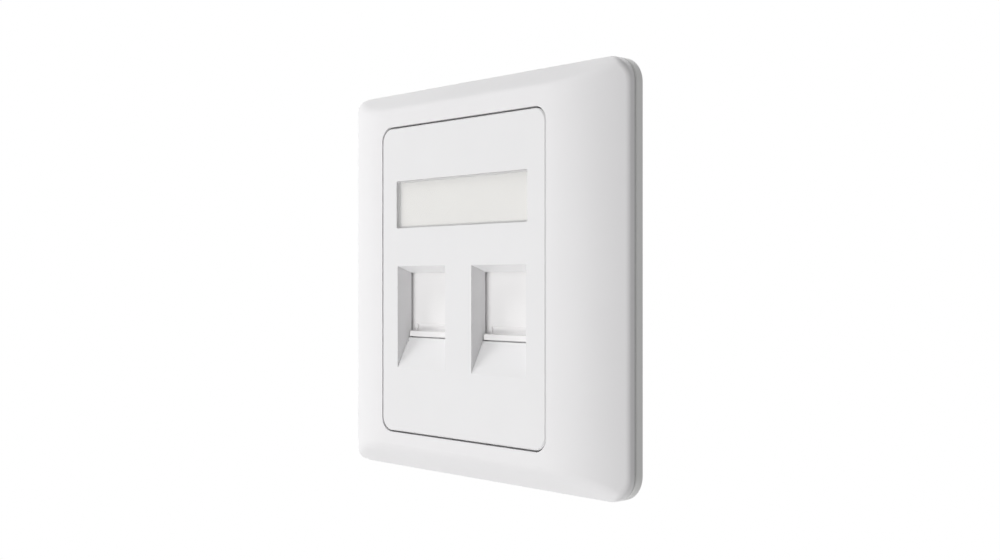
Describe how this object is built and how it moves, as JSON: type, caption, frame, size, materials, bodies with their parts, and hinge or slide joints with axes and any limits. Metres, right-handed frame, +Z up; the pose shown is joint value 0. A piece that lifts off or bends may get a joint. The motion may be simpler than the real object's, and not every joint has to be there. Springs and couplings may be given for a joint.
{
  "type": "keystone faceplate",
  "caption": "Square wall plate with a crowned clip-on surround, a label window and shuttered keystone ports side by side.",
  "frame": {"origin": "midway between the two wall screws, on the wall plane that the base frame's back rests on", "axes": "+Z up, front faces -Y, +Y into the wall box, +X to the right seen from the front"},
  "size_m": [0.086, 0.0157, 0.086],
  "materials": {
    "bezel_plastic": "satin gloss moulded white",
    "panel_plastic": "satin gloss moulded white",
    "shutter_plastic": "satin moulded white",
    "frame_plastic": "moulded white",
    "holder_plastic": "moulded white",
    "clear_cover": "clear",
    "card": "uncoated card",
    "spring_steel": "bright drawn wire",
    "screw_steel": "bright zinc plate"
  },
  "bodies": {
    "plate": {"bezel": "bezel_plastic", "base_frame": "frame_plastic", "front_panel": "panel_plastic", "label_window": "clear_cover", "label_card": "card", "holder_screws": "screw_steel", "keystone_holder_left": "holder_plastic", "keystone_holder_right": "holder_plastic", "shutter_spring_left": "spring_steel", "shutter_spring_right": "spring_steel"},
    "shutter_left": {"shutter_left": "shutter_plastic"},
    "shutter_right": {"shutter_right": "shutter_plastic"}
  },
  "joints": [
    {"name": "shutter_slide_left", "type": "slide", "parent": "plate", "child": "shutter_left", "axis": [0, 0, 1], "range_m": [0, 0.013], "stiffness_N_per_m": 150, "springref_m": -0.004, "deforming": ["shutter_spring_left"]},
    {"name": "shutter_slide_right", "type": "slide", "parent": "plate", "child": "shutter_right", "axis": [0, 0, 1], "range_m": [0, 0.013], "stiffness_N_per_m": 150, "springref_m": -0.004, "deforming": ["shutter_spring_right"]}
  ]
}
